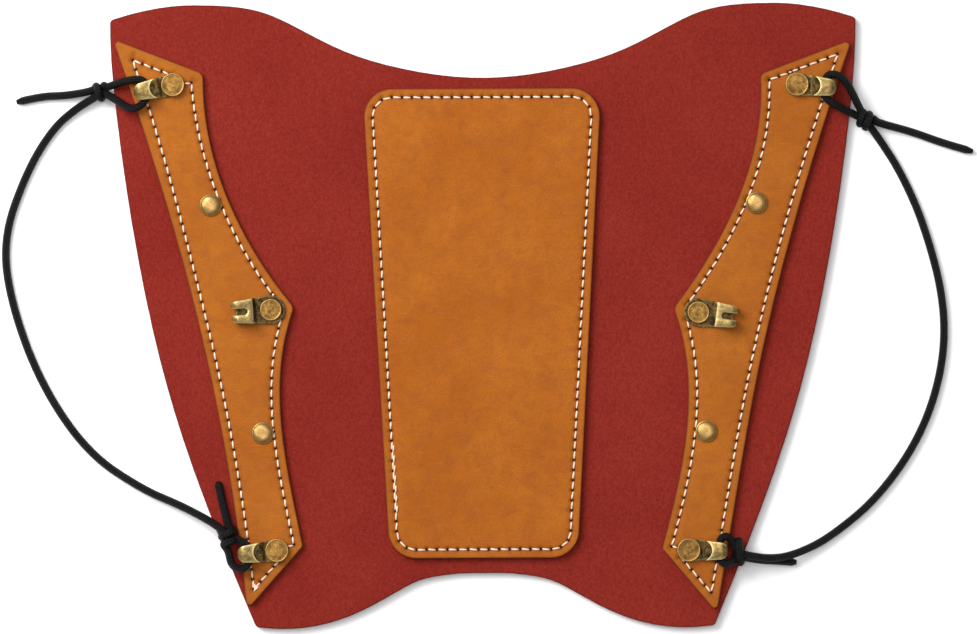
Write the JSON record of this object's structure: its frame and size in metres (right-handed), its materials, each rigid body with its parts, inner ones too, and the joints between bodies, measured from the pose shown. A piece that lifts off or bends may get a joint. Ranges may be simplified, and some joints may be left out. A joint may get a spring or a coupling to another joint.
{
  "type": "archery arm guard",
  "caption": "Flat waisted leather arm guard with a stitched centre panel, riveted side strips, swivelling brass lace hooks and knotted elastic cords.",
  "frame": {"origin": "on the inner face, which rests on the surface, at the middle of the leather body's bounding box", "axes": "+X across the forearm, +Y towards the elbow end, +Z out from the arm, towards the hooks"},
  "size_m": [0.3111, 0.1997, 0.0104],
  "materials": {
    "red_leather": "suede, fine nap",
    "tan_leather": "nubuck, matt, fine grain",
    "thread": "waxed twisted thread",
    "antique_brass": "antiqued, brushed, worn bright on the edges",
    "elastic_cord": "fine braided sleeve over a rubber core"
  },
  "bodies": {
    "root": {"base_leather": "red_leather", "centre_panel": "tan_leather", "cord_left_knot_elbow": "elastic_cord", "cord_left_knot_wrist": "elastic_cord", "cord_left_loop_elbow": "elastic_cord", "cord_left_loop_wrist": "elastic_cord", "cord_left_span": "elastic_cord", "cord_left_tail_elbow": "elastic_cord", "cord_left_tail_wrist": "elastic_cord", "cord_right_knot_elbow": "elastic_cord", "cord_right_knot_wrist": "elastic_cord", "cord_right_loop_elbow": "elastic_cord", "cord_right_loop_wrist": "elastic_cord", "cord_right_span": "elastic_cord", "cord_right_tail_elbow": "elastic_cord", "cord_right_tail_wrist": "elastic_cord", "hook_rivet_back_elbow_left": "antique_brass", "hook_rivet_back_elbow_right": "antique_brass", "hook_rivet_back_middle_left": "antique_brass", "hook_rivet_back_middle_right": "antique_brass", "hook_rivet_back_wrist_left": "antique_brass", "hook_rivet_back_wrist_right": "antique_brass", "hook_rivet_elbow_left": "antique_brass", "hook_rivet_elbow_right": "antique_brass", "hook_rivet_middle_left": "antique_brass", "hook_rivet_middle_right": "antique_brass", "hook_rivet_wrist_left": "antique_brass", "hook_rivet_wrist_right": "antique_brass", "side_strip_left": "tan_leather", "side_strip_right": "tan_leather", "stitching_centre": "thread", "stitching_left": "thread", "stitching_right": "thread", "stud_back_elbow_left": "antique_brass", "stud_back_elbow_right": "antique_brass", "stud_back_wrist_left": "antique_brass", "stud_back_wrist_right": "antique_brass", "stud_elbow_left": "antique_brass", "stud_elbow_right": "antique_brass", "stud_wrist_left": "antique_brass", "stud_wrist_right": "antique_brass"},
    "lace_hook_elbow_left": {"hook_elbow_left": "antique_brass"},
    "lace_hook_middle_left": {"hook_middle_left": "antique_brass"},
    "lace_hook_wrist_left": {"hook_wrist_left": "antique_brass"},
    "lace_hook_elbow_right": {"hook_elbow_right": "antique_brass"},
    "lace_hook_middle_right": {"hook_middle_right": "antique_brass"},
    "lace_hook_wrist_right": {"hook_wrist_right": "antique_brass"}
  },
  "joints": [
    {"name": "hook_elbow_left_swivel", "type": "hinge", "parent": "root", "child": "lace_hook_elbow_left", "pos_m": [-0.0991, 0.0743, 0.0055], "axis": [0, 0, 1], "range_deg": [-4, 4]},
    {"name": "hook_middle_left_swivel", "type": "hinge", "parent": "root", "child": "lace_hook_middle_left", "pos_m": [-0.0681, 0.0023, 0.0055], "axis": [0, 0, 1], "range_deg": [-30, 30]},
    {"name": "hook_wrist_left_swivel", "type": "hinge", "parent": "root", "child": "lace_hook_wrist_left", "pos_m": [-0.0665, -0.0746, 0.0055], "axis": [0, 0, 1], "range_deg": [-4, 4]},
    {"name": "hook_elbow_right_swivel", "type": "hinge", "parent": "root", "child": "lace_hook_elbow_right", "pos_m": [0.1003, 0.0736, 0.0055], "axis": [0, 0, 1], "range_deg": [-5, 5]},
    {"name": "hook_middle_right_swivel", "type": "hinge", "parent": "root", "child": "lace_hook_middle_right", "pos_m": [0.0685, 0.0009, 0.0055], "axis": [0, 0, 1], "range_deg": [-30, 30]},
    {"name": "hook_wrist_right_swivel", "type": "hinge", "parent": "root", "child": "lace_hook_wrist_right", "pos_m": [0.0651, -0.075, 0.0055], "axis": [0, 0, 1], "range_deg": [-4, 5]}
  ]
}
